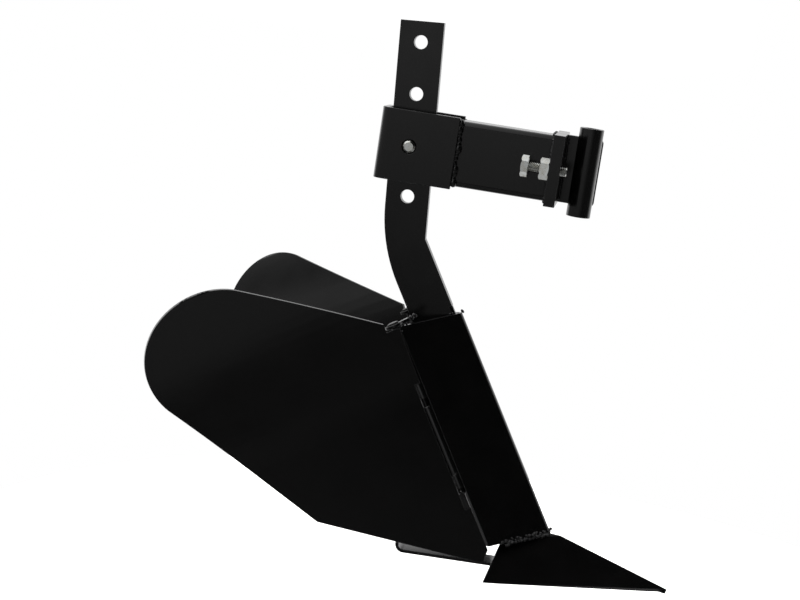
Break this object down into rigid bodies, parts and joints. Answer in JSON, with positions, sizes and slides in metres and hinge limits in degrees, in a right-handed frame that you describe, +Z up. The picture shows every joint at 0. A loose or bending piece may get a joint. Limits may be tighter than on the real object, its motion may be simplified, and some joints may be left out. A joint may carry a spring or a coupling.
{
  "type": "walk behind ridger",
  "caption": "Walk behind ridger: hitch arm with a pivot tube, bent flat shank with depth holes, V nose with a share tip, and hinged rolled wings set by slotted stays.",
  "frame": {"origin": "middle of the pivot tube, on its bore axis", "axes": "+X forward, +Y to the left seen from behind, +Z up along the pivot tube"},
  "size_m": [0.4823, 0.3278, 0.493],
  "materials": {
    "black_paint": "semi-gloss",
    "zinc": "satin"
  },
  "bodies": {
    "drawbar": {"pivot_tube": "black_paint", "cheek_plate": "black_paint", "hitch_flange": "black_paint", "drawbar_arm": "black_paint", "arm_weld": "black_paint", "shank_sleeve": "black_paint", "sleeve_weld": "black_paint", "depth_nut": "zinc", "guide_boss_right": "black_paint", "guide_boss_left": "black_paint", "lock_nut_right": "zinc", "lock_nut_left": "zinc"},
    "adjuster_right": {"adjuster_bolt_right": "zinc"},
    "adjuster_left": {"adjuster_bolt_left": "zinc"},
    "depth_pin": {"depth_bolt": "zinc"},
    "ridger": {"shank": "black_paint", "nose": "black_paint", "share": "black_paint", "heel_bracket": "black_paint", "top_lug_right": "black_paint", "top_lug_left": "black_paint", "hinge_barrel_right": "black_paint", "hinge_barrel_left": "black_paint", "hinge_pin_right": "black_paint", "hinge_pin_left": "black_paint", "split_pin_right": "zinc", "split_pin_left": "zinc", "clamp_bolt": "zinc", "clamp_washer": "zinc", "clamp_nut": "zinc"},
    "right_wing": {"wing_right": "black_paint", "wing_eyes_right": "black_paint", "stay_right": "black_paint"},
    "left_wing": {"wing_left": "black_paint", "wing_eyes_left": "black_paint", "stay_left": "black_paint"}
  },
  "joints": [
    {"name": "adjuster_right_slide", "type": "slide", "parent": "drawbar", "child": "adjuster_right", "axis": [1, 0, 0], "range_m": [-0.008, 0.006]},
    {"name": "adjuster_left_slide", "type": "slide", "parent": "drawbar", "child": "adjuster_left", "axis": [1, 0, 0], "range_m": [-0.008, 0.006]},
    {"name": "depth_pin_pull", "type": "slide", "parent": "drawbar", "child": "depth_pin", "axis": [0, 1, 0], "range_m": [0, 0.064]},
    {"name": "shank_rock", "type": "hinge", "parent": "drawbar", "child": "ridger", "pos_m": [-0.16, 0, 0], "axis": [0, 1, 0], "range_deg": [-3, 10]},
    {"name": "right_wing_hinge", "type": "hinge", "parent": "ridger", "child": "right_wing", "pos_m": [-0.13803, -0.04883, -0.17453], "axis": [-0.512, 0, 0.859], "range_deg": [-8, 8]},
    {"name": "left_wing_hinge", "type": "hinge", "parent": "ridger", "child": "left_wing", "pos_m": [-0.13803, 0.04883, -0.17453], "axis": [0.512, 0, -0.859], "range_deg": [-8, 8]}
  ]
}
